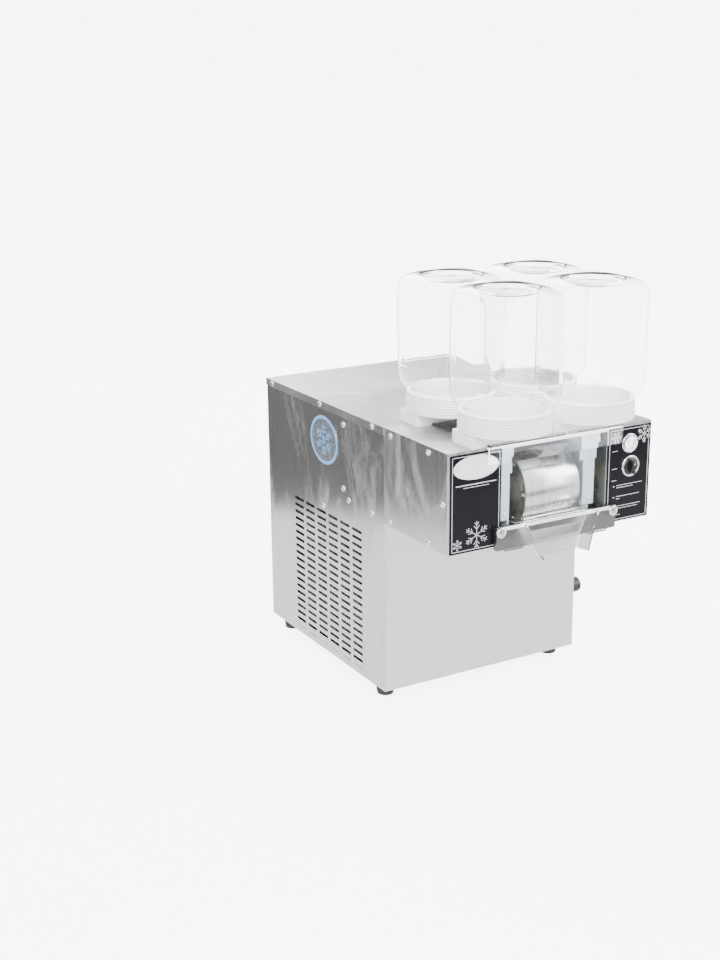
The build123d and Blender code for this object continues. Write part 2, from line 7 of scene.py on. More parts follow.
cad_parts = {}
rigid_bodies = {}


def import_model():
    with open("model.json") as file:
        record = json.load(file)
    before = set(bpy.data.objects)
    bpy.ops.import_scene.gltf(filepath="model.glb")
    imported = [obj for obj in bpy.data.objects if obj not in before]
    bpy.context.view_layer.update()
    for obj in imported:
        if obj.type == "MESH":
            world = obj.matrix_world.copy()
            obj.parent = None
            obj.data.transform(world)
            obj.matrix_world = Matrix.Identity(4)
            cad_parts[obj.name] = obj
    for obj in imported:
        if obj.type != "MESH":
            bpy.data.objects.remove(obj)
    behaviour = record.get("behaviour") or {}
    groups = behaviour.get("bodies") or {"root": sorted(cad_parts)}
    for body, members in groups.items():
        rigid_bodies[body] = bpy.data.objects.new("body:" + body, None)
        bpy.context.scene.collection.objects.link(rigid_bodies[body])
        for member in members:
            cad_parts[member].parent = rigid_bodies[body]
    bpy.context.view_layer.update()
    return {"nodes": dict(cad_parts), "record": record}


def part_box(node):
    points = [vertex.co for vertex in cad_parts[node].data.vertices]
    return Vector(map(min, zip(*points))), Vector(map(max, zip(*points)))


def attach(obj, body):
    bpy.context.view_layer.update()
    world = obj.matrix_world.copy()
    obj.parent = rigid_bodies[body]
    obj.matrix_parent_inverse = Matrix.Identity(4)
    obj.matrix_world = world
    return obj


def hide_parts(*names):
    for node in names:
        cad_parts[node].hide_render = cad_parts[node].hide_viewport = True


# Looks for the snow-ice machine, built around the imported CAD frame. Metres, row frame.

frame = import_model()
NODES = frame["nodes"]
JARS = ("front_left", "front_right", "rear_left", "rear_right")
MM = 0.001
WELD = 2e-6  # closes the CAD mesh's split corners


# -------- materials

def fill(made, **values):
    """Sets a node's input sockets by name, with _ in place of a space."""
    for key, value in values.items():
        made.inputs[key.replace("_", " ")].default_value = value
    return made


def scaled(colour, factor):
    return tuple(min(1.0, c * factor) for c in colour)


class Shader:
    """A Principled material with short helpers for the nodes that feed it."""

    def __init__(self, name):
        self.mat = bpy.data.materials.new(name)
        self.mat.use_nodes = True
        self.tree = self.mat.node_tree
        self.bsdf = self.tree.nodes["Principled BSDF"]
        self.coords = self.tree.nodes.new("ShaderNodeTexCoord").outputs["Object"]

    def set(self, **values):
        for key, value in values.items():
            colour = isinstance(value, tuple) and len(value) == 3
            fill(self.bsdf, **{key: (*value, 1.0) if colour else value})

    def node(self, kind, **settings):
        made = self.tree.nodes.new(kind)
        for key, value in settings.items():
            setattr(made, key, value)
        return made

    def link(self, output, target):
        self.tree.links.new(output, target)

    def feed(self, value, socket):
        """Links an output to a socket, or sets the socket to a plain number or colour."""
        if isinstance(value, bpy.types.NodeSocket):
            self.link(value, socket)
        else:
            socket.default_value = (*value, 1) if isinstance(value, tuple) else value

    def stretch(self, x, y, z):
        mapping = fill(self.node("ShaderNodeMapping"), Scale=(x, y, z))
        self.link(self.coords, mapping.inputs["Vector"])
        return mapping.outputs["Vector"]

    def noise(self, scale, detail=3.0, vector=None, distortion=0.0, roughness=0.5):
        made = self.node("ShaderNodeTexNoise")
        fill(made, Scale=scale, Detail=detail, Roughness=roughness, Distortion=distortion)
        self.link(vector or self.coords, made.inputs["Vector"])
        return made.outputs["Fac"]

    def ramp(self, value, *stops):
        """Colour ramp; each stop is (position, colour or grey)."""
        made = self.node("ShaderNodeValToRGB")
        elements = made.color_ramp.elements
        while len(elements) < len(stops):
            elements.new(0.5)
        for element, (position, colour) in zip(elements, stops):
            element.position = position
            grey = not isinstance(colour, tuple)
            element.color = (colour, colour, colour, 1) if grey else (*colour, 1)
        self.link(value, made.inputs["Fac"])
        return made.outputs["Color"]

    def mix(self, factor, a, b, blend="MIX"):
        """Mix two colours; each may be an output or a plain colour."""
        made = self.node("ShaderNodeMix", data_type="RGBA", blend_type=blend)
        for value, number in ((factor, 0), (a, 6), (b, 7)):
            self.feed(value, made.inputs[number])
        return made.outputs[2]

    def maths(self, operation, a, b=0.0):
        made = self.node("ShaderNodeMath", operation=operation)
        self.feed(a, made.inputs[0])
        self.feed(b, made.inputs[1])
        return made.outputs[0]

    def range(self, value, low, high, start=0.0, end=1.0):
        """Maps start..end to low..high."""
        made = fill(self.node("ShaderNodeMapRange"), From_Min=start, From_Max=end, To_Min=low, To_Max=high)
        self.link(value, made.inputs["Value"])
        return made.outputs["Result"]

    def bump(self, height, strength, distance):
        made = fill(self.node("ShaderNodeBump"), Strength=strength, Distance=distance)
        self.link(height, made.inputs["Height"])
        self.to("Normal", made.outputs["Normal"])

    def to(self, socket, output):
        self.link(output, self.bsdf.inputs[socket])


def brushed_steel(name, grain, tint, smear, rough, mottle, seed):
    """Satin stainless sheet: fine grain along one axis, and cloudy wiping smears that blur the reflection."""
    s = Shader(name)
    fine = {"X": (8, 2600, 2600), "Y": (2600, 8, 2600), "Z": (2600, 2600, 8)}[grain]
    lines = s.noise(1.0, 2.0, s.stretch(*fine))
    offset = s.node("ShaderNodeVectorMath", operation="ADD")
    offset.inputs[1].default_value = (seed, seed * 0.7, seed * 1.3)
    s.link(s.coords, offset.inputs[0])
    squash = s.node("ShaderNodeVectorMath", operation="MULTIPLY")
    squash.inputs[1].default_value = (1.0, 1.0, 0.42)
    s.link(offset.outputs[0], squash.inputs[0])
    clouds = s.noise(9.0, 6.0, squash.outputs[0], distortion=1.2, roughness=0.62)
    wipes = s.noise(30.0, 5.0, squash.outputs[0], distortion=2.2, roughness=0.62)
    base = s.ramp(clouds, (0.32, scaled(tint, 1 - mottle)), (0.70, scaled(tint, 1 + mottle)))
    s.to("Base Color", s.mix(0.07, base, s.ramp(lines, (0.3, 0.3), (0.7, 0.75)), "OVERLAY"))
    patch = s.maths("MULTIPLY", s.range(clouds, 0.0, 1.0, 0.50, 0.66), s.range(wipes, 0.35, 1.0, 0.36, 0.66))
    grainy = s.range(lines, rough[0], rough[1], 0.3, 0.7)
    s.to("Roughness", s.maths("ADD", grainy, s.maths("MULTIPLY", patch, smear)))
    s.set(Metallic=1.0, Anisotropic=0.35)
    s.bump(lines, 0.03, 0.00003)
    return s.mat


def plastic(name, colour, rough=0.32, mottle=0.06, bump=0.12, **values):
    """Moulded plastic: slight tone changes, soft orange-peel and handling marks."""
    s = Shader(name)
    cloud = s.noise(26.0, 4.0, distortion=0.6)
    s.to("Base Color", s.ramp(cloud, (0.35, scaled(colour, 1 - mottle)), (0.65, scaled(colour, 1 + mottle))))
    marks = s.noise(90.0, 5.0, distortion=1.5)
    s.to("Roughness", s.range(marks, rough * 0.75, min(1.0, rough * 1.35), 0.3, 0.7))
    s.set(**values)
    s.bump(s.noise(520.0, 2.0), bump, 0.00006)
    return s.mat


def clear_plastic(name, tint, rough, ior, marks):
    """Clear sheet or blown plastic with faint wiping marks and a slow thickness ripple."""
    s = Shader(name)
    wipes = s.noise(34.0, 5.0, distortion=2.2)
    s.to("Roughness", s.range(wipes, rough, rough + marks, 0.52, 0.75))
    s.set(Base_Color=tint, IOR=ior, Transmission_Weight=1.0)
    s.bump(s.noise(38.0, 2.0, distortion=0.5), 0.08, 0.0006)
    return s.mat


def bare_metal(name, colour, rough=0.12, grain=None, variation=0.18, bump=0.05):
    """Plated or machined metal with uneven polish; grain gives turning or brushing marks."""
    s = Shader(name)
    vector = s.stretch(*grain) if grain else s.stretch(320, 320, 320)
    lines = s.noise(1.0, 3.0, vector)
    cloud = s.noise(30.0, 4.0, distortion=1.0)
    base = s.ramp(cloud, (0.3, scaled(colour, 1 - variation)), (0.65, colour))
    s.to("Base Color", s.mix(0.2, base, s.ramp(lines, (0.3, 0.3), (0.7, 0.8)), "OVERLAY"))
    s.to("Roughness", s.range(lines, rough * 0.7, rough * 1.5, 0.3, 0.7))
    s.set(Metallic=1.0)
    s.bump(lines, bump, 0.00004)
    return s.mat


def enamel(name, colour, rough=0.4):
    """Sprayed paint with a light orange peel and a little dust."""
    s = Shader(name)
    dust = s.noise(48.0, 6.0, distortion=1.2)
    dusty = tuple(c * 0.8 + 0.06 for c in colour)
    s.to("Base Color", s.ramp(dust, (0.42, colour), (0.72, dusty)))
    s.to("Roughness", s.range(dust, rough * 0.8, min(1.0, rough * 1.5), 0.35, 0.7))
    s.bump(s.noise(700.0, 2.0), 0.2, 0.00008)
    return s.mat


def printed(name, colour, metallic=0.0, rough=0.35):
    """Screen print: a fine speckle and slightly uneven ink."""
    s = Shader(name)
    speck = s.noise(900.0, 2.0)
    s.to("Base Color", s.ramp(speck, (0.38, scaled(colour, 0.82)), (0.6, colour)))
    s.to("Roughness", s.range(speck, rough * 0.8, rough * 1.3, 0.3, 0.7))
    s.set(Metallic=metallic)
    return s.mat


def drum_metal():
    """Turned stainless drum: fine grain runs round it, with a few dull scraped streaks."""
    s = Shader("drum_turned_steel")
    rings = s.noise(1.0, 2.0, s.stretch(1500, 5, 5))
    streaks = s.noise(1.0, 4.0, s.stretch(150, 14, 14), distortion=0.3)
    base = s.ramp(streaks, (0.34, (0.62, 0.615, 0.59)), (0.6, (0.72, 0.715, 0.695)))
    s.to("Base Color", s.mix(0.10, base, s.ramp(rings, (0.3, 0.35), (0.7, 0.7)), "OVERLAY"))
    s.to("Roughness", s.range(streaks, 0.20, 0.31, 0.3, 0.7))
    s.set(Metallic=1.0, Anisotropic=0.4)
    s.bump(rings, 0.02, 0.00003)
    return s.mat


def milky_plastic(name, colour, transmission, rough=0.3):
    """Translucent white moulding that lets some light through."""
    s = Shader(name)
    cloud = s.noise(60.0, 3.0)
    s.to("Base Color", s.ramp(cloud, (0.3, scaled(colour, 0.97)), (0.7, colour)))
    s.to("Roughness", s.range(s.noise(140.0, 3.0), rough * 0.8, rough * 1.3, 0.3, 0.7))
    s.set(IOR=1.45, Transmission_Weight=transmission)
    s.bump(s.noise(420.0, 2.0), 0.1, 0.00006)
    return s.mat


MATS = {
    "side": brushed_steel("steel_side_left", "Z", (0.60, 0.60, 0.585), 0.30, (0.16, 0.23), 0.10, 0.0),
    "side_right": brushed_steel("steel_side_right", "Z", (0.60, 0.60, 0.585), 0.3, (0.2, 0.3), 0.08, 3.1),
    "front": brushed_steel("steel_front", "Z", (0.70, 0.70, 0.675), 0.12, (0.26, 0.36), 0.03, 1.7),
    "top": brushed_steel("steel_top", "X", (0.50, 0.50, 0.495), 0.15, (0.26, 0.36), 0.05, 5.2),
    "hood": brushed_steel("steel_hood", "Z", (0.58, 0.575, 0.555), 0.36, (0.19, 0.28), 0.08, 7.9),
    "bay": brushed_steel("steel_bay", "X", (0.56, 0.55, 0.48), 0.2, (0.36, 0.46), 0.08, 2.4),
    # The blade bar's steel is tinted far darker than bare stainless: painted shade under the pale lip.
    "bar": brushed_steel("steel_bar_painted_shade", "X", (0.15, 0.15, 0.148), 0.1, (0.28, 0.38), 0.05, 9.3),
    "blade": bare_metal("blade_ground_steel", (0.78, 0.78, 0.78), 0.14, (1400, 9, 9)),
    "drum": drum_metal(),
    "drum_end": bare_metal("drum_end_steel", (0.52, 0.52, 0.47), 0.42, (9, 260, 260), 0.1),
    "chrome": bare_metal("plated_chrome", (0.82, 0.82, 0.83), 0.07),
    "screw": bare_metal("plated_screw", (0.78, 0.77, 0.75), 0.16),
    "copper": bare_metal("copper_pipe", (0.72, 0.36, 0.22), 0.26, None, 0.4),
    "brass": bare_metal("brass_fitting", (0.74, 0.56, 0.27), 0.2),
    "fins": bare_metal("condenser_fins", (0.70, 0.71, 0.72), 0.3, (40, 40, 900), 0.3),
    "zinc": bare_metal("zinc_plate", (0.62, 0.63, 0.64), 0.34, None, 0.35),
    "black": plastic("panel_black_film", (0.006, 0.006, 0.008), 0.16, 0.1, 0.03, Specular_IOR_Level=0.12),
    "silver_print": printed("print_silver", (0.72, 0.73, 0.76), 0.55, 0.32),
    "white_print": printed("print_white", (0.86, 0.88, 0.9), 0.0, 0.4),
    "pale_blue_print": printed("print_pale_blue", (0.55, 0.76, 0.90), 0.0, 0.4),
    "badge_foil": bare_metal("badge_foil", (0.50, 0.56, 0.64), 0.3, None, 0.3),
    "badge_blue": printed("badge_blue", (0.16, 0.38, 0.72), 0.0, 0.35),
    "seat": plastic("seat_white_nylon", (0.86, 0.87, 0.865), 0.34, 0.03, 0.15),
    "knob_white": plastic("white_nylon", (0.83, 0.84, 0.83), 0.36, 0.04, 0.15),
    # The side plates are white plastic, coloured a bluish mid grey as painted shade.
    "strip": plastic("bay_plate_painted_shade", (0.52, 0.60, 0.67), 0.3, 0.06, 0.1),
    "tray": plastic("tray_plastic", (0.80, 0.82, 0.81), 0.35, 0.05, 0.12),
    "rubber": plastic("black_rubber", (0.012, 0.012, 0.012), 0.62, 0.2, 0.5),
    "dark": plastic("black_moulded_plastic", (0.014, 0.014, 0.016), 0.34, 0.15, 0.25),
    "knob": plastic("black_knob_plastic", (0.008, 0.008, 0.009), 0.2, 0.1, 0.1),
    "hose": plastic("hose_silicone", (0.70, 0.71, 0.68), 0.45, 0.05, 0.2),
    "compressor": enamel("compressor_enamel", (0.012, 0.012, 0.014), 0.36),
    "motor": enamel("motor_enamel", (0.10, 0.11, 0.12), 0.45),
    "grey": enamel("control_box_paint", (0.42, 0.44, 0.46), 0.5),
    "jar": clear_plastic("jar_clear_plastic", (0.955, 0.968, 0.98), 0.012, 1.40, 0.03),
    "cap": milky_plastic("cap_translucent_plastic", (0.96, 0.965, 0.97), 0.12, 0.34),
    "lip": milky_plastic("chute_lip_plastic", (0.93, 0.94, 0.95), 0.15, 0.35),
    "acrylic": clear_plastic("acrylic_sheet", (0.97, 0.975, 0.995), 0.01, 1.47, 0.03),
    "chute": clear_plastic("chute_sheet", (0.97, 0.975, 0.98), 0.03, 1.42, 0.06),
    "lens": clear_plastic("button_lens", (0.9, 0.93, 0.96), 0.03, 1.5, 0.03),
}


# -------- mesh helpers

def link_mesh(name, bm):
    """Puts a bmesh into the scene as an object."""
    mesh = bpy.data.meshes.new(name)
    bm.to_mesh(mesh)
    bm.free()
    made = bpy.data.objects.new(name, mesh)
    bpy.context.scene.collection.objects.link(made)
    return made


def angles(count):
    """Evenly spaced angles round a full turn."""
    return [2 * math.pi * k / count for k in range(count)]


def piece(name, bm, material, body="root", replaces=(), sharp=32.0, smooth=True):
    """Turns a bmesh into a finished piece that rides on a CAD body."""
    bmesh.ops.remove_doubles(bm, verts=bm.verts, dist=1e-6)
    bmesh.ops.recalc_face_normals(bm, faces=bm.faces)
    made = link_mesh(name, bm)
    mesh = made.data
    for polygon in mesh.polygons:
        polygon.use_smooth = smooth
    if smooth:
        mesh.set_sharp_from_angle(angle=math.radians(sharp))
    mesh.materials.append(material)
    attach(made, body)
    if replaces:
        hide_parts(*replaces)
    return made


def skin(bm, loops):
    """Joins point loops of equal length into a tube of quads with closed ends."""
    rows = [[bm.verts.new(point) for point in loop] for loop in loops]
    count = len(rows[0])
    for lower, upper in zip(rows, rows[1:]):
        for i in range(count):
            j = (i + 1) % count
            bm.faces.new((lower[i], lower[j], upper[j], upper[i]))
    bm.faces.new(list(reversed(rows[0])))
    bm.faces.new(rows[-1])


AXES = {
    "X": ((1, 0, 0), (0, 1, 0), (0, 0, 1)),
    "Y": ((0, 1, 0), (0, 0, 1), (1, 0, 0)),
    "Z": ((0, 0, 1), (1, 0, 0), (0, 1, 0)),
}


def lathe(bm, profile, origin, axis, turns=96):
    """Turns a closed (distance along axis, radius) profile about an axis through origin."""
    w, u, v = map(Vector, AXES[axis])
    origin = Vector(origin)
    rings = []
    for along, radius in profile:
        if radius < 1e-7:
            rings.append([bm.verts.new(origin + w * along)])
            continue
        rings.append([
            bm.verts.new(origin + w * along + (u * math.cos(angle) + v * math.sin(angle)) * radius)
            for angle in angles(turns)
        ])
    pairs = list(zip(rings, rings[1:]))
    if len(rings[0]) > 1:
        pairs.append((rings[-1], rings[0]))
    for first, second in pairs:
        for i in range(turns):
            j = (i + 1) % turns
            if len(first) == 1 and len(second) == 1:
                continue
            if len(first) == 1:
                bm.faces.new((first[0], second[j], second[i]))
            elif len(second) == 1:
                bm.faces.new((first[i], first[j], second[0]))
            else:
                bm.faces.new((first[i], first[j], second[j], second[i]))


def slab(bm, low, high, bevel=0.0, segments=2):
    """Box between two corners with rounded edges."""
    made = bmesh.ops.create_cube(bm, size=1.0)
    size = Vector(high) - Vector(low)
    centre = (Vector(high) + Vector(low)) / 2
    for vertex in made["verts"]:
        vertex.co = Vector((vertex.co.x * size.x, vertex.co.y * size.y, vertex.co.z * size.z)) + centre
    if bevel > 0:
        edges = list({edge for vertex in made["verts"] for edge in vertex.link_edges})
        bmesh.ops.bevel(bm, geom=edges, offset=bevel, segments=segments, profile=0.5, affect="EDGES")


def prism(bm, outline, depth, place):
    """Flat outline, given as (u, v) points, thickened by depth and placed by a function of (u, v, w)."""
    front = [bm.verts.new(place(u, v, depth)) for u, v in outline]
    back = [bm.verts.new(place(u, v, 0.0)) for u, v in outline]
    bm.faces.new(front)
    bm.faces.new(list(reversed(back)))
    for i in range(len(outline)):
        j = (i + 1) % len(outline)
        bm.faces.new((back[i], back[j], front[j], front[i]))


def strip(bm, points, width, depth, place):
    """Printed line of constant width through a few points."""
    for (x0, y0), (x1, y1) in zip(points, points[1:]):
        direction = Vector((x1 - x0, y1 - y0)).normalized()
        across = Vector((-direction.y, direction.x)) * width / 2
        ends = direction * width / 2
        a, b = Vector((x0, y0)) - ends, Vector((x1, y1)) + ends
        prism(bm, [tuple(a - across), tuple(b - across), tuple(b + across), tuple(a + across)], depth, place)


def softened(node, width, material, segments=2, angle=28.0, name=None):
    """A copy of a CAD node with rounded edges, shown in its place."""
    source = NODES[node]
    bm = bmesh.new()
    bm.from_mesh(source.data)
    bmesh.ops.remove_doubles(bm, verts=bm.verts, dist=WELD)
    bmesh.ops.dissolve_limit(bm, angle_limit=math.radians(1.0), verts=bm.verts, edges=bm.edges)
    limit = math.radians(angle)
    edges = [e for e in bm.edges if len(e.link_faces) == 2 and e.calc_face_angle(0) > limit]
    bmesh.ops.bevel(bm, geom=edges, offset=width, segments=segments, profile=0.5, affect="EDGES",
                    clamp_overlap=True)
    body = next(b for b, nodes in frame["record"]["behaviour"]["bodies"].items() if node in nodes)
    return piece(name or f"{node}_finished", bm, material, body, (node,))


def islands(node):
    """Low and high corner of each separate solid in a CAD node."""
    bm = bmesh.new()
    bm.from_mesh(NODES[node].data)
    bmesh.ops.remove_doubles(bm, verts=bm.verts, dist=WELD)
    left = set(bm.verts)
    boxes = []
    while left:
        stack = [left.pop()]
        found = []
        while stack:
            vertex = stack.pop()
            found.append(vertex.co.copy())
            for edge in vertex.link_edges:
                other = edge.other_vert(vertex)
                if other in left:
                    left.remove(other)
                    stack.append(other)
        boxes.append((Vector(map(min, *found)), Vector(map(max, *found))))
    bm.free()
    return sorted(boxes, key=lambda pair: tuple(round(c, 4) for c in (pair[0] + pair[1])))


# -------- jars and caps

# shares of a side's half length where points lie, closest together at the recess's edge
SIDE_STEPS = (0.0, 0.13, 0.26, 0.39, 0.5, 0.6, 0.68, 0.735, 0.765, 0.79, 0.815, 0.845, 0.885, 0.93, 0.97)
JAR_WALL = 1.3 * MM
JAR_NECK_RADIUS = 58.4 * MM
JAR_CORNER = 30 * MM
JAR_NECK_HEIGHT = 27 * MM
JAR_SHOULDER_RISE = 27 * MM
JAR_BASE_ROUND = 18 * MM
RECESS_DEPTH = 0.9 * MM  # shallow panel pressed into each side
RECESS_STEP = 0.9 * MM
PUNT_RADIUS = 47 * MM
PUNT_EDGE = PUNT_RADIUS - 1.5 * MM


def jar_loop(centre, half, corner, z, press=0.0):
    """Rounded square of points; press pushes the middle of each side in by that much."""
    straight = half - corner
    reach = straight + corner * math.pi / 4
    steps = [-t for t in reversed(SIDE_STEPS[1:])] + list(SIDE_STEPS) + [1.0]
    loop = []
    for side in range(4):
        turn = side * math.pi / 2
        for t in steps:
            along = abs(t) * reach
            inward = press * smooth_step(0.80, 0.755, abs(t))
            if along <= straight or corner < 1e-9:
                x, y = along, half - inward
            else:
                angle = (along - straight) / corner
                x = straight + (corner - inward) * math.sin(angle)
                y = straight + (corner - inward) * math.cos(angle)
            x = math.copysign(x, t)
            loop.append(Vector((
                centre.x + x * math.cos(turn) + y * math.sin(turn),
                centre.y - x * math.sin(turn) + y * math.cos(turn),
                z,
            )))
    return loop


def smooth_step(start, end, value):
    t = min(1.0, max(0.0, (value - start) / (end - start)))
    return t * t * (3 - 2 * t)


def jar_shell(low, high, inset):
    """(half side, corner radius, height, press) rows of a jar standing on its neck."""
    half = (high.x - low.x) / 2
    neck = JAR_NECK_RADIUS
    shoulder = low.z + JAR_NECK_HEIGHT
    wall = shoulder + JAR_SHOULDER_RISE
    edge = high.z - JAR_BASE_ROUND
    window_low, window_high = wall + 7 * MM, edge - 8 * MM
    rows = [(neck, neck, low.z, 0)]
    for along in (3, 6, 9, 12, 15, 18, 21):
        bulge = (0.7 if along % 6 == 3 else 0.0) * MM
        rows.append((neck + bulge, neck + bulge, low.z + along * MM, 0))
    rows.append((neck, neck, shoulder - 2 * MM, 0))
    for i in range(0, 13):
        angle = i / 12 * math.pi / 2
        rise = 1 - math.cos(angle)
        rows.append((
            neck + (half - neck) * math.sin(angle),
            neck + (JAR_CORNER - neck) * math.sin(angle),
            shoulder + (wall - shoulder) * rise,
            0,
        ))
    rows.append((half, JAR_CORNER, window_low - 3.5 * MM, 0))
    for i in range(5):
        z = window_low + (i - 2) * RECESS_STEP
        rows.append((half, JAR_CORNER, z, RECESS_DEPTH * smooth_step(-0.2, 4.2, i)))
    for i in range(1, 8):
        rows.append((half, JAR_CORNER, window_low + (window_high - window_low) * i / 8, RECESS_DEPTH))
    for i in range(5):
        z = window_high + (i - 2) * RECESS_STEP
        rows.append((half, JAR_CORNER, z, RECESS_DEPTH * smooth_step(4.2, -0.2, i)))
    rows.append((half, JAR_CORNER, window_high + 3.5 * MM, 0))
    radius = high.z - edge
    for i in range(11):
        angle = i / 10 * math.pi / 2
        shrink = radius * (1 - math.cos(angle))
        corner = JAR_CORNER - shrink * 0.2 + shrink * 0.5
        rows.append((half - shrink, corner, edge + radius * math.sin(angle), 0))
    for share, drop in ((0.2, 0.0), (0.5, 0.4), (0.75, 1.6), (0.9, 3.2), (1.0, 5.0)):
        wide = half - radius
        corner = JAR_CORNER + (PUNT_RADIUS - JAR_CORNER) * share
        rows.append((wide + (PUNT_EDGE - wide) * share, corner, high.z - drop * MM * 0.3, 0))
    punt = ((0.985, 2.6), (0.965, 4.6), (0.93, 5.6), (0.8, 6.0), (0.5, 4.6), (0.2, 3.6), (0.02, 3.4))
    for share, drop in punt:
        rows.append((PUNT_EDGE * share, PUNT_EDGE * share, high.z - drop * MM, 0))
    if inset:
        inner = []
        for wide, corner, z, press in rows:
            corner = min(corner, wide)
            lift = inset * smooth_step(edge, high.z, z)
            inner.append((wide - inset, max(corner - inset, 0.1 * MM), z - lift, press))
        return inner
    return [(wide, min(corner, wide), z, press) for wide, corner, z, press in rows]


def make_jar(name):
    """Blown square jar, neck down: an inner and an outer skin joined at the neck's rim."""
    low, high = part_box(f"jar_{name}")
    centre = (low + high) / 2
    bm = bmesh.new()
    outer = [jar_loop(centre, *row) for row in jar_shell(low, high, 0.0)]
    inner = [jar_loop(centre, *row) for row in jar_shell(low, high, JAR_WALL)]
    skin(bm, list(reversed(inner)) + outer)
    piece(f"jar_{name}_blown", bm, MATS["jar"], f"jar_unit_{name}", (f"jar_{name}",), sharp=70)


def rib(bm, foot, side, out, ends, section):
    """Small grip rib: a section, in mm along side and out from its foot, run between two end offsets."""
    skin(bm, [[foot + side * a * MM + out * b * MM + end for a, b in section] for end in ends])


CAP_HEIGHT = 30 * MM
CAP_RIBS = 6
CAP_TAPER = 0.12 * MM  # each rib is this much smaller than the one below
CAP_GRIPS = 60
SPOUT_BORE = 6 * MM
SPOUT_OUTSIDE = 8.4 * MM


def make_cap(name):
    """Ribbed screw cap with a spout below and a seat that just clears the closed valve."""
    low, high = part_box(f"cap_{name}")
    centre = (low + high) / 2
    radius = (high.x - low.x) / 2
    floor = high.z - CAP_HEIGHT - low.z
    top = high.z - low.z
    neck = JAR_NECK_RADIUS + 1.3 * MM
    bm = bmesh.new()
    outside = [(floor, radius - 1.6 * MM), (floor + 0.5 * MM, radius - 0.5 * MM), (floor + 1.6 * MM, radius)]
    pitch = (top - floor - 6 * MM) / CAP_RIBS
    for i in range(CAP_RIBS):
        start = floor + 3 * MM + i * pitch
        for share, dip in ((0.0, 0.0), (0.14, 0.5), (0.3, 0.9), (0.5, 0.9), (0.64, 0.5), (0.78, 0.0)):
            outside.append((start + share * pitch, radius - dip * MM - i * CAP_TAPER))
    shrink = CAP_RIBS * CAP_TAPER
    outside += [(top - 1.6 * MM, radius - shrink), (top - 0.5 * MM, radius - shrink - 0.4 * MM)]
    outside += [(top, radius - shrink - 1.4 * MM), (top, neck + 0.8 * MM), (top - 0.6 * MM, neck)]
    inside = [(floor + 4 * MM, neck), (floor + 3 * MM, neck - 2 * MM), (floor + 3 * MM, 12 * MM)]
    seat = floor + 3.8 * MM
    spout = [(seat, 10.4 * MM), (seat, SPOUT_BORE), (0.6 * MM, SPOUT_BORE), (0, 6.6 * MM), (0, 7.8 * MM)]
    spout += [(0.6 * MM, SPOUT_OUTSIDE), (floor - 0.8 * MM, SPOUT_OUTSIDE), (floor, 9.2 * MM)]
    underside = [(floor, radius * 0.8), (floor + 0.8 * MM, radius * 0.81), (floor + 0.8 * MM, radius * 0.9),
                 (floor, radius * 0.91)]
    lathe(bm, outside + inside + spout + underside, (centre.x, centre.y, low.z), "Z", 128)
    for angle in angles(CAP_GRIPS):
        out = Vector((math.cos(angle), math.sin(angle), 0))
        side = Vector((-math.sin(angle), math.cos(angle), 0))
        foot = Vector((centre.x, centre.y, 0)) + out * (radius - 1.2 * MM)
        ends = [Vector((0, 0, high.z - drop * MM)) for drop in (5.2, 2.2)]
        rib(bm, foot, side, out, ends, ((-0.7, -0.6), (0.7, -0.6), (0.35, 0.75), (-0.35, 0.75)))
    piece(f"cap_{name}_moulded", bm, MATS["cap"], f"jar_unit_{name}", (f"cap_{name}",), sharp=50)


# -------- drum, bay and blade

def make_drum():
    """Turned shell with rounded rims, and recessed end discs with six screw heads each."""
    low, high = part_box("drum_shell")
    centre = (low + high) / 2
    radius = (high.z - low.z) / 2
    length = high.x - low.x
    rim = 1.2 * MM
    bm = bmesh.new()
    lathe(bm, [
        (0.6 * MM, radius - 4.2 * MM), (0, radius - 3.6 * MM), (0, radius - rim),
        (0.35 * MM, radius - 0.35 * MM), (rim, radius), (length - rim, radius),
        (length - 0.35 * MM, radius - 0.35 * MM), (length, radius - rim),
        (length, radius - 3.6 * MM), (length - 0.6 * MM, radius - 4.2 * MM),
    ], (low.x, centre.y, centre.z), "X", 192)
    piece("drum_shell_turned", bm, MATS["drum"], "drum", ("drum_shell",), sharp=40)
    ends = bmesh.new()
    inner = radius - 3.9 * MM
    hub = 10.4 * MM
    for start, way in ((low.x + 0.5 * MM, 1), (high.x - 0.5 * MM, -1)):
        lathe(ends, [
            (0, inner), (1.2 * MM * way, inner - 2 * MM), (1.2 * MM * way, hub + 14 * MM),
            (0.2 * MM * way, hub + 12 * MM), (0.2 * MM * way, hub),
            (3 * MM * way, hub), (3 * MM * way, inner),
        ], (start, centre.y, centre.z), "X", 96)
        screw_circle = inner - 8 * MM
        back, face = 1.4 * MM * way, -0.4 * MM * way
        for angle in angles(6):
            y = centre.y + math.cos(angle) * screw_circle
            z = centre.z + math.sin(angle) * screw_circle
            lathe(ends, [(back, 0), (back, 2.6 * MM), (face, 2.2 * MM), (face, 0)], (start, y, z), "X", 18)
    piece("drum_end_discs", ends, MATS["drum_end"], "drum", sharp=40)


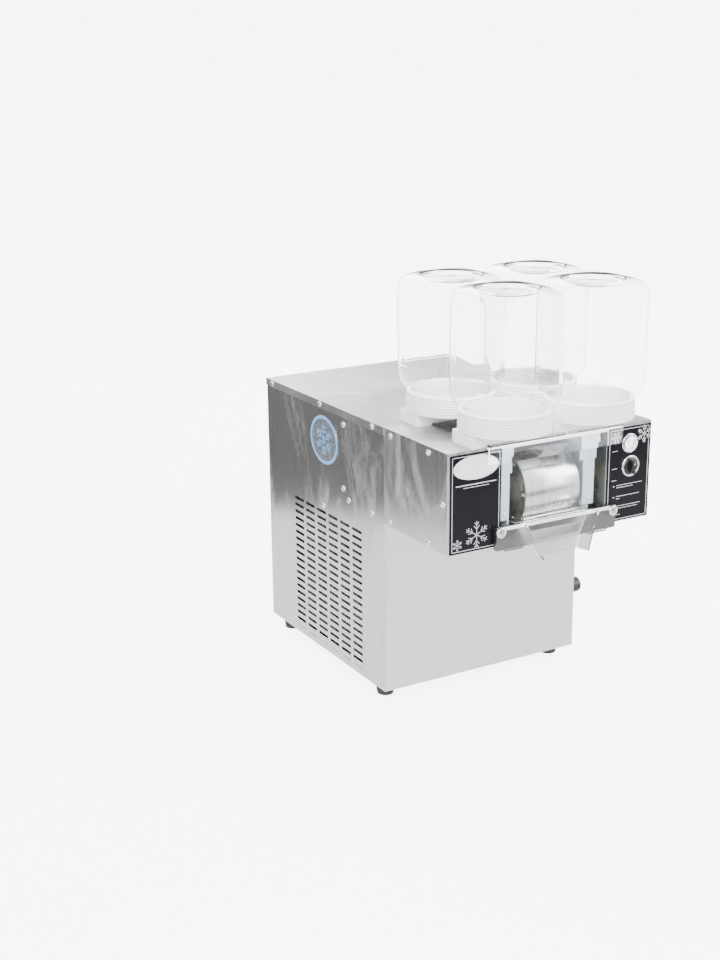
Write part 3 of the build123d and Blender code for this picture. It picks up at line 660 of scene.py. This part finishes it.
def make_bay():
    """White side strips in a bluish grey of painted shade, and the blade's bar, its steel darkened as painted
    shade, with its pale lip, its hooks and its two plated knobs.
    """
    plates = ("left_side_plate", "right_side_plate")
    for node in plates:
        softened(node, 0.5 * MM, MATS["strip"], segments=2)
    screws = bmesh.new()
    for node in plates:
        low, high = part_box(node)
        x = low.x + 6 * MM if node.startswith("left") else high.x - 11 * MM
        pan_head(screws, Vector((x, low.y, high.z - 98 * MM)), Vector((0, -1, 0)), 2.4 * MM, 1.2 * MM)
    piece("bay_strip_screws", screws, MATS["screw"], sharp=35)

    low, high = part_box("blade_bar")
    bar = bmesh.new()
    lip = 5.5 * MM
    slab(bar, (low.x, low.y + 0.4 * MM, low.z + 3.5 * MM), (high.x, high.y, high.z - 0.8 * MM), 0.7 * MM)
    middle_x = (low.x + high.x) / 2
    for start, end in ((low.x + 14 * MM, middle_x - 58 * MM), (middle_x + 52 * MM, high.x - 14 * MM)):
        y, sag = low.y + 2.2 * MM, low.z + 1.3 * MM
        hook = ((start, low.z + 3.6 * MM), (start + 3 * MM, sag), (end - 3 * MM, sag),
                (end, low.z + 4.2 * MM))
        wire(bar, [Vector((x, y, z)) for x, z in hook], 1.25 * MM)
    piece("blade_bar_folded", bar, MATS["bar"], "root", ("blade_bar",), sharp=35)
    edge = bmesh.new()
    slab(edge, (low.x + 1 * MM, low.y, high.z - lip), (high.x - 1 * MM, low.y + 1.4 * MM, high.z), 0.6 * MM)
    piece("blade_bar_lip", edge, MATS["lip"], sharp=35)

    for side in ("left", "right"):
        knob_low, knob_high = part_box(f"{side}_bar_knob")
        centre = (knob_low + knob_high) / 2
        radius = (knob_high.x - knob_low.x) / 2
        depth = knob_high.y - knob_low.y
        knob = bmesh.new()
        profile = [(0, 0), (0, radius * 0.62), (-1.6 * MM, radius * 0.72), (-2.2 * MM, radius * 0.94)]
        profile += [(-3.2 * MM, radius), (-depth + 1.6 * MM, radius), (-depth + 0.4 * MM, radius * 0.9)]
        profile += [(-depth, radius * 0.78), (-depth, radius * 0.46), (-depth + 3.2 * MM, radius * 0.42)]
        profile += [(-depth + 3.2 * MM, 0)]
        lathe(knob, profile, (centre.x, knob_high.y, centre.z), "Y", 48)
        for angle in angles(18):
            out = Vector((math.cos(angle), 0, math.sin(angle)))
            foot = Vector((centre.x, knob_low.y + 1.8 * MM, centre.z)) + out * (radius - 0.5 * MM)
            across = Vector((-out.z, 0, out.x))
            ends = [Vector((0, along * MM, 0)) for along in (0.0, 3.0)]
            rib(knob, foot, across, out, ends, ((-0.5, -0.4), (0.5, -0.4), (0.3, 0.48), (-0.3, 0.48)))
        piece(f"{side}_bar_knob_turned", knob, MATS["chrome"], f"knob_{side}",
              (f"{side}_bar_knob",), sharp=40)

    softened("scraper_blade", 0.2 * MM, MATS["blade"], segments=1)


def wire(bm, points, radius, turns=12):
    """Round wire through a few points, with mitred corners."""
    rows = []
    for i, point in enumerate(points):
        before = points[max(0, i - 1)]
        after = points[min(len(points) - 1, i + 1)]
        ahead = (after - before).normalized()
        side = ahead.cross(Vector((0, 1, 0))).normalized()
        up = side.cross(ahead).normalized()
        rows.append([point + side * math.cos(angle) * radius + up * math.sin(angle) * radius
                     for angle in angles(turns)])
    skin(bm, rows)


def pan_head(bm, foot, out, radius, height, turn=0.4):
    """Domed screw head with a cross recess; foot is on the sheet and out points away from it."""
    side = out.orthogonal().normalized()
    up = out.cross(side).normalized()
    side, up = side * math.cos(turn) + up * math.sin(turn), up * math.cos(turn) - side * math.sin(turn)
    turns = 24
    rows = []
    for along, share in ((-0.3, 1.0), (0.25, 1.0), (0.55, 0.93), (0.8, 0.78), (0.95, 0.55)):
        rows.append([
            foot + out * along * height + (side * math.cos(angle) + up * math.sin(angle)) * radius * share
            for angle in angles(turns)
        ])
    arm, width = 0.5 * radius, 0.13 * radius
    cross = []
    for angle in angles(turns):
        c, s = abs(math.cos(angle)), abs(math.sin(angle))
        reach = arm if max(c, s) > 0.93 else width * 1.5
        cross.append((math.cos(angle) * reach, math.sin(angle) * reach))
    rows.append([foot + out * height * 0.97 + side * a + up * b for a, b in cross])
    rows.append([foot + out * height * 0.45 + side * a * 0.55 + up * b * 0.55 for a, b in cross])
    skin(bm, rows)


# -------- controls

def make_controls():
    """Plated bezels, a domed clear button over its ringed reflector, and a selector with a white line."""
    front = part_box("left_graphic_panel")[0].y
    button_low, button_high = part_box("push_button")
    knob_low, knob_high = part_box("selector_knob")
    softened("switch_bezels", 0.3 * MM, MATS["chrome"], segments=2, name="switch_bezels_plated")

    centre = (button_low + button_high) / 2
    radius = (button_high.x - button_low.x) / 2
    face = front - 4.2 * MM
    cap = bmesh.new()
    dome = [(0, 0), (0, radius * 0.99), (-0.9 * MM, radius * 0.985), (-1.6 * MM, radius * 0.9)]
    dome += [(-2.1 * MM, radius * 0.72), (-2.25 * MM, radius * 0.5), (-2.3 * MM, 0)]
    lathe(cap, dome, (centre.x, face, centre.z), "Y", 64)
    piece("push_button_lens", cap, MATS["lens"], "button", ("push_button",), sharp=40)
    inner = bmesh.new()
    rings = [(-0.1 * MM, 0), (-0.1 * MM, radius * 0.86)]
    rings += [(-0.8 * MM, radius * 0.86), (-0.8 * MM, radius * 0.8)]
    for i in range(5):
        r = radius * (0.74 - i * 0.13)
        rings += [(-1.2 * MM, r), (-0.6 * MM, r - radius * 0.065)]
    rings.append((-0.8 * MM, 0))
    lathe(inner, rings, (centre.x, face, centre.z), "Y", 64)
    stem = button_high.y - face
    lathe(inner, [
        (-0.1 * MM, 0), (-0.1 * MM, 3.9 * MM), (stem - 0.4 * MM, 3.9 * MM), (stem, 3.4 * MM), (stem, 0),
    ], (centre.x, face, centre.z), "Y", 32)
    piece("push_button_reflector", inner, MATS["chrome"], "button", sharp=30)

    centre = (knob_low + knob_high) / 2
    radius = (knob_high.x - knob_low.x) / 2
    knob = bmesh.new()
    skirt = [(-1.3 * MM, 0), (-1.3 * MM, radius), (-3.0 * MM, radius), (-3.7 * MM, radius - 0.5 * MM)]
    skirt += [(-4.0 * MM, radius - 1.4 * MM), (-4.2 * MM, radius * 0.6), (-4.2 * MM, 0)]
    lathe(knob, skirt, (centre.x, front, centre.z), "Y", 64)
    lathe(knob, [
        (-1.2 * MM, 0), (-1.2 * MM, 4.2 * MM), (19.4 * MM, 4.2 * MM), (20 * MM, 3.6 * MM), (20 * MM, 0),
    ], (centre.x, front, centre.z), "Y", 32)
    handle(knob, centre, front - 4.0 * MM, front - 12 * MM, 4.0 * MM, 11 * MM)
    piece("selector_knob_moulded", knob, MATS["knob"], "selector", ("selector_knob",), sharp=38)
    mark = bmesh.new()
    top = front - 12.0 * MM
    half = 0.9 * MM
    slab(mark, (centre.x - half, top, centre.z + 3.0 * MM),
         (centre.x + half, top + 0.8 * MM, centre.z + 9.6 * MM), 0.2 * MM)
    piece("selector_pointer_line", mark, MATS["white_print"], "selector")


def handle(bm, centre, foot, top, half_width, half_height):
    """Finger bar of a selector knob: pinched across the middle, rounded ends and edges."""
    outline = []
    for angle in angles(36):
        z = math.sin(angle) * half_height
        pinch = 0.78 + 0.22 * (abs(z) / half_height) ** 2
        x = math.copysign(abs(math.cos(angle)) ** 0.45, math.cos(angle)) * half_width * pinch
        outline.append((x, z))
    rows = []
    for share, scale in ((0.0, 1.0), (0.5, 0.97), (0.82, 0.94), (0.93, 0.88), (1.0, 0.74)):
        y = foot + (top - foot) * share
        taller = 1 - (1 - scale) * 0.4
        rows.append([Vector((centre.x + x * scale, y, centre.z + z * taller)) for x, z in outline])
    skin(bm, rows)


# -------- printed panels and badge

PRINT = 0.12 * MM  # thickness of the raised print
FRAME_INSET = 3.4 * MM
FRAME_LINE = 0.9 * MM


def panel_place(node):
    """Puts (u, v, w) on a front panel: u from its left edge, v from its bottom edge, w out from its face."""
    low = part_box(node)[0]
    return lambda u, v, w: Vector((low.x + u, low.y - w, low.z + v))


def border(bm, width, height, inset, line, place):
    """Thin frame line set in from a panel's edge."""
    x0, y0, x1, y1 = inset, inset, width - inset, height - inset
    strip(bm, ((x0, y0), (x1, y0), (x1, y1), (x0, y1), (x0, y0)), line, PRINT, place)


def oval(cx, cy, rx, ry, turns=72):
    return [(cx + rx * math.cos(angle), cy + ry * math.sin(angle)) for angle in angles(turns)]


def oval_band(bm, rx, ry, width, depth, place, cx=0.0, cy=0.0, turns=96):
    """Oval ring of constant width, closed on itself: four loops skinned round."""
    outer, inner = oval(cx, cy, rx, ry, turns), oval(cx, cy, rx - width, ry - width, turns)
    loops = [[bm.verts.new(place(u, v, w)) for u, v in edge]
             for edge, w in ((outer, 0), (outer, depth), (inner, depth), (inner, 0))]
    for near, far in zip(loops, loops[1:] + loops[:1]):
        for k in range(turns):
            j = (k + 1) % turns
            bm.faces.new((near[k], near[j], far[j], far[k]))


def snowflake(bm, cx, cy, radius, line, place, turn=90.0):
    """Plain six-armed flake: a straight stem with two pairs of side branches on each arm."""
    hub = Vector((cx, cy))
    for arm in range(6):
        angle = math.radians(turn + 60 * arm)
        out = Vector((math.cos(angle), math.sin(angle))) * radius
        side = Vector((-out.y, out.x))
        strip(bm, (tuple(hub), tuple(hub + out * 0.95)), line, PRINT, place)
        for along, reach in ((0.38, 0.26), (0.66, 0.2)):
            for sign in (-1, 1):
                tip = hub + out * (along + reach) + side * reach * 0.8 * sign
                strip(bm, (tuple(hub + out * along), tuple(tip)), line * 0.85, PRINT, place)


def make_panel_prints():
    """Frames, plain flakes and plain lines in place of all lettering, and a blank oval label."""
    left_low, left_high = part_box("left_graphic_panel")
    right_low, right_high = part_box("right_graphic_panel")
    left_width, height = left_high.x - left_low.x, left_high.z - left_low.z
    right_width = right_high.x - right_low.x
    left, right = panel_place("left_graphic_panel"), panel_place("right_graphic_panel")

    lines = bmesh.new()
    border(lines, left_width, height, FRAME_INSET, FRAME_LINE, left)
    border(lines, right_width, height, FRAME_INSET, FRAME_LINE, right)
    title, subtitle = height - 45 * MM, height - 49 * MM
    strip(lines, ((10 * MM, title), (left_width - 9 * MM, title)), 1.5 * MM, PRINT, left)
    strip(lines, ((22 * MM, subtitle), (left_width - 21 * MM, subtitle)), 0.8 * MM, PRINT, left)
    snowflake(lines, 45 * MM, 23.5 * MM, 21 * MM, 1.0 * MM, left)
    snowflake(lines, 12.5 * MM, 13 * MM, 8.5 * MM, 0.7 * MM, left)
    snowflake(lines, right_width - 12 * MM, height - 15 * MM, 13.5 * MM, 1.3 * MM, right)
    snowflake(lines, 13.5 * MM, height - 14 * MM, 9 * MM, 0.9 * MM, right, turn=60)
    for z, lengths in ((55, (47, 30)), (38, (43, 6)), (23, (45, 40)), (9.5, (8,))):
        strip(lines, ((13 * MM, z * MM), (14.6 * MM, z * MM)), 1.4 * MM, PRINT, right)
        for row, length in enumerate(lengths):
            v = (z + 0.8 - 3.6 * row) * MM
            strip(lines, ((19 * MM, v), ((19 + length) * MM, v)), 0.8 * MM, PRINT, right)
    for z in (height - 35 * MM, height - 62 * MM, height - 80 * MM):
        strip(lines, ((9 * MM, z), (18 * MM, z)), 0.8 * MM, PRINT, right)
    piece("panel_silver_print", lines, MATS["silver_print"], smooth=False)

    label = bmesh.new()
    centre_u, centre_v = left_width / 2, height - 21 * MM
    prism(label, oval(centre_u, centre_v, 38 * MM, 17.5 * MM), PRINT, left)
    piece("panel_oval_label", label, MATS["white_print"], smooth=False)
    rim = bmesh.new()
    raised = lambda u, v, w: left(u, v, w + PRINT)
    oval_band(rim, 37 * MM, 16.5 * MM, 0.8 * MM, PRINT, raised, centre_u, centre_v)
    piece("panel_label_rim", rim, MATS["pale_blue_print"], smooth=False)


def make_badge():
    """Oval foil sticker on the left side: a plain blue ring round one plain snowflake."""
    low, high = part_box("oval_badge")
    centre = (low + high) / 2
    rx, rz = (high.y - low.y) / 2, (high.z - low.z) / 2
    foil, ink, ring_width = 0.3 * MM, 0.15 * MM, 5.0 * MM
    place = lambda u, v, w: Vector((high.x - 0.25 * MM - w, centre.y - u, centre.z + v))
    raised = lambda u, v, w: place(u, v, w + foil - PRINT + ink)
    base = bmesh.new()
    prism(base, oval(0, 0, rx - 0.2 * MM, rz - 0.2 * MM), foil, place)
    piece("oval_badge_foil", base, MATS["badge_foil"], "root", ("oval_badge",), smooth=False)
    ring = bmesh.new()
    oval_band(ring, rx - 0.6 * MM, rz - 0.6 * MM, ring_width, ink, raised)
    snowflake(ring, 0, 0, min(rx, rz) * 0.62, 2.2 * MM, raised)
    piece("oval_badge_ring", ring, MATS["badge_blue"], smooth=False)


# -------- fasteners and machinery

def make_screws():
    """Cross-recess pan heads where the CAD has its plain ones."""
    heads = bmesh.new()
    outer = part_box("panel_screws")
    for number, (low, high) in enumerate(islands("panel_screws")):
        centre = (low + high) / 2
        on_back = high.y > outer[1].y - 4 * MM and high.x - low.x > 5 * MM
        if on_back:
            foot, out = Vector((centre.x, low.y, centre.z)), Vector((0, 1, 0))
            radius, height = (high.x - low.x) / 2, high.y - low.y
        else:
            way = -1 if centre.x < 0 else 1
            foot, out = Vector((high.x if way < 0 else low.x, centre.y, centre.z)), Vector((way, 0, 0))
            radius, height = (high.z - low.z) / 2, high.x - low.x
        pan_head(heads, foot, out, radius, height, turn=number * 0.83)
    piece("panel_screws_cross_head", heads, MATS["screw"], "root", ("panel_screws",), sharp=35)


def make_feet():
    """Waisted rubber feet, hollow underneath."""
    feet = bmesh.new()
    for low, high in islands("rubber_feet"):
        centre = (low + high) / 2
        radius = (high.x - low.x) / 2
        tall = high.z - low.z
        profile = [(0, 6 * MM), (0, radius * 0.76), (0.8 * MM, radius * 0.82), (tall * 0.45, radius * 0.9)]
        profile += [(tall * 0.5, radius * 0.84), (tall * 0.58, radius * 0.84), (tall * 0.63, radius * 0.93)]
        profile += [(tall - 0.8 * MM, radius), (tall, radius * 0.98), (tall, 2 * MM)]
        profile += [(4 * MM, 2 * MM), (4 * MM, 6 * MM)]
        lathe(feet, profile, (centre.x, centre.y, low.z), "Z", 48)
    piece("rubber_feet_moulded", feet, MATS["rubber"], "root", ("rubber_feet",), sharp=35)


def make_condenser():
    """Thin fins, end plates and straight tubes behind the left side's vents."""
    low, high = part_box("condenser")
    x0, x1 = low.x, high.x
    y0, y1 = low.y + 1 * MM, high.y
    z0, z1 = low.z + 9.8 * MM, high.z
    fins = bmesh.new()
    count, half_fin = 84, 0.12 * MM
    for i in range(count):
        y = y0 + 3 * MM + i * (y1 - y0 - 6 * MM) / (count - 1)
        slab(fins, (x0 + 0.5 * MM, y - half_fin, z0), (x1 - 0.5 * MM, y + half_fin, z1))
    for y in (y0, y1 - 1.5 * MM):
        slab(fins, (x0, y, low.z), (x1, y + 1.5 * MM, z1), 0.3 * MM, 1)
    piece("condenser_fin_pack", fins, MATS["fins"], "root", ("condenser",), smooth=False)
    tubes = bmesh.new()
    rows = 8
    pitch = (z1 - z0) / rows
    middle_x = (x0 + x1) / 2
    bore, outside, length = 3.6 * MM, 4.8 * MM, y1 - low.y - 0.6 * MM
    for i in range(rows):
        z = z0 + (i + 0.5) * pitch
        lathe(tubes, [(0, bore), (0, outside), (length, outside), (length, bore)],
              (middle_x, low.y + 0.2 * MM, z), "Y", 20)
    piece("condenser_tubes", tubes, MATS["copper"])


# node: (edge rounding in mm, material, bevel segments, finish)
SHEETS_AND_SEATS = {
    "ice_chute": (0.35, "chute", 1, "folded"),
    "drip_cover": (0.45, "acrylic", 2, "polished"),
    "seat_blocks": (1.0, "seat", 3, "milled"),
}
MACHINERY = {
    "fan_rotor": (0.5, "dark", 1, "moulded"),
    "compressor": (1.2, "compressor", 2, "painted"),
    "power_inlet": (0.5, "dark", 2, "moulded"),
    "drain_plug": (0.8, "dark", 2, "moulded"),
    "drum_gearmotor": (0.8, "motor", 2, "painted"),
    "control_box": (1.0, "grey", 2, "painted"),
}


def soften_nodes(table):
    for node, (width, material, segments, finish) in table.items():
        softened(node, width * MM, MATS[material], segments=segments, name=f"{node}_{finish}")


# -------- camera, room and light

def look(position, yaw, pitch, roll, lens):
    """Camera turned yaw degrees from +Y towards +X, then pitched and rolled."""
    camera = bpy.data.objects.new("camera", bpy.data.cameras.new("camera"))
    bpy.context.scene.collection.objects.link(camera)
    yaw, pitch, roll = map(math.radians, (yaw, pitch, roll))
    ahead = Vector((math.sin(yaw) * math.cos(pitch), math.cos(yaw) * math.cos(pitch), math.sin(pitch)))
    right = Vector((math.cos(yaw), -math.sin(yaw), 0))
    up = right.cross(ahead)
    right_rolled = right * math.cos(roll) + up * math.sin(roll)
    up_rolled = up * math.cos(roll) - right * math.sin(roll)
    turn = Matrix((right_rolled, up_rolled, -ahead)).transposed()
    camera.matrix_world = Matrix.Translation(position) @ turn.to_4x4()
    camera.data.lens = lens
    camera.data.sensor_width = 36.0
    camera.data.clip_end = 200.0
    bpy.context.scene.camera = camera


def card(name, centre, facing, width, height, strength, colour=(1, 1, 1), turn=0.0):
    """Flat panel that shows in reflections: a softbox if strength is above 0, and dark cloth if not."""
    bm = bmesh.new()
    bmesh.ops.create_grid(bm, x_segments=1, y_segments=1, size=0.5)
    made = link_mesh(name, bm)
    made.scale = (width, height, 1)
    made.location = centre
    aim = (Vector(facing) - Vector(centre)).to_track_quat("Z", "Y")
    made.rotation_euler = (aim @ Quaternion((0, 0, 1), math.radians(turn))).to_euler()
    material = bpy.data.materials.new(name)
    material.use_nodes = True
    bsdf = material.node_tree.nodes["Principled BSDF"]
    paint = (*colour, 1)
    fill(bsdf, Base_Color=paint, Roughness=0.9, Emission_Color=paint, Emission_Strength=strength)
    made.data.materials.append(material)
    made.visible_camera = False
    made.visible_transmission = False
    made.visible_shadow = False
    made.visible_diffuse = False


def lamp(name, position, target, size, power):
    data = bpy.data.lights.new(name, "AREA")
    data.shape = "DISK"
    data.size = size
    data.energy = power
    made = bpy.data.objects.new(name, data)
    made.location = position
    made.rotation_euler = (Vector(target) - Vector(position)).to_track_quat("-Z", "Y").to_euler()
    bpy.context.scene.collection.objects.link(made)


PAPER_WHITE = (0.99, 0.995, 1.0, 1)
SKY_WHITE = (0.985, 0.99, 1.0, 1)
SKY_STRENGTH = 2.3
FLOOR_STRENGTH = 5.6
COVE_STRENGTH = 7.4  # the unlit cove glows more than the lit floor, so that no horizon shows
FLOOR_HALF = 60.0
COVE_RADIUS = 28.0
COVE_HEIGHT = 60.0
NEAR_BLACK = (0.04, 0.04, 0.04)
DARK_GREY = (0.07, 0.07, 0.07)
MID_GREY = (0.5, 0.52, 0.53)
TUBE_WIDTH = 0.16
TUBE_HEIGHT = 2.0


def glow(name, bm, shader, strength):
    """Stage surface that is bright to the eye and to clear plastic, and lights nothing."""
    made = link_mesh(name, bm)
    shader.set(Emission_Color=PAPER_WHITE, Emission_Strength=strength)
    made.data.materials.append(shader.mat)
    made.visible_glossy = False
    made.visible_diffuse = False
    return made


def make_studio():
    look((-1.2554, -1.8840, 0.9946), 29.635, -16.828, -0.544, 55.5)
    world = bpy.data.worlds.new("studio")
    world.use_nodes = True
    fill(world.node_tree.nodes["Background"], Color=SKY_WHITE, Strength=SKY_STRENGTH)
    bpy.context.scene.world = world

    bm = bmesh.new()
    bmesh.ops.create_grid(bm, x_segments=1, y_segments=1, size=FLOOR_HALF)
    paper = Shader("floor_paper")
    paper.to("Base Color", paper.ramp(paper.noise(3.0, 4.0), (0.3, 0.80), (0.7, 0.82)))
    paper.set(Roughness=0.9)
    floor = glow("floor", bm, paper, FLOOR_STRENGTH)

    wall = bmesh.new()
    bmesh.ops.create_cone(wall, cap_ends=True, segments=96, radius1=COVE_RADIUS, radius2=COVE_RADIUS,
                          depth=COVE_HEIGHT)
    white = Shader("cove_white")
    white.set(Base_Color=(0.0, 0.0, 0.0), Roughness=1.0, Specular_IOR_Level=0.0)
    cove = glow("white_cove", wall, white, COVE_STRENGTH)
    cove.visible_shadow = False
    card("lid_flag", (1.9, 3.4, 1.75), (0.0, 0.0, 0.4), 3.6, 1.9, 0.55, MID_GREY)

    target = (0.0, 0.0, 0.3)
    lamp("key", (-1.5, -2.4, 2.6), target, 1.2, 120)
    lamp("fill", (2.4, -1.8, 1.8), target, 1.6, 60)
    lamp("back", (0.6, 2.4, 2.2), target, 1.6, 60)
    card("dark_studio_left", (-1.72, 1.74, 0.004), (-1.72, 1.74, 1.0), 3.0, 3.0, 0.0, NEAR_BLACK, turn=48.5)
    card("dark_studio_front", (-0.6, -2.6, 0.01), (-0.6, -2.6, 1.0), 5.0, 2.6, 0.0, DARK_GREY)
    for side, x, strength in (("left", -1.9, 70.0), ("right", 1.1, 16.0)):
        card(f"tube_light_{side}", (x, -1.5, 1.3), (0, -0.1, 0.5), TUBE_WIDTH, TUBE_HEIGHT, strength)


# -------- materials of the CAD nodes that stay

NODE_MATERIALS = {
    "side": ("left_side_panel",),
    "side_right": ("right_side_panel", "rear_panel"),
    "front": ("front_panel",),
    "top": ("top_lid", "hood_top"),
    "hood": ("hood_left_side", "hood_right_side", "hood_front"),
    "bay": ("hood_floor", "milk_trough"),
    "zinc": ("base_pan", "fan_shroud"),
    "drum_end": ("drum_shaft", "drum_bearings"),
    "black": ("left_graphic_panel", "right_graphic_panel"),
    "tray": ("feed_tray",),
    "knob_white": ("valve_front_left", "valve_front_right", "valve_rear_left", "valve_rear_right"),
    "motor": ("fan_motor",),
    "dark": ("drain_fitting",),
    "copper": ("copper_pipes", "filter_drier"),
    "brass": ("rotary_union",),
    "hose": ("drain_hose",),
    "rubber": ("compressor_mounts",),
}


def finish_cad_nodes():
    """Gives the CAD nodes that stay visible their materials."""
    for key, names in NODE_MATERIALS.items():
        for name in names:
            materials = NODES[name].data.materials
            materials.clear()
            materials.append(MATS[key])


# -------- build

make_studio()
finish_cad_nodes()
for jar in JARS:
    make_jar(jar)
    make_cap(jar)
make_drum()
make_bay()
soften_nodes(SHEETS_AND_SEATS)
make_controls()
make_panel_prints()
make_badge()
make_screws()
make_feet()
make_condenser()
soften_nodes(MACHINERY)

# Clear plastic passes light on to what lies behind it.
CLEAR = {MATS[key] for key in ("jar", "acrylic", "chute", "lens")}
for made in bpy.context.scene.objects:
    if made.type == "MESH" and CLEAR & set(made.data.materials):
        made.visible_shadow = False
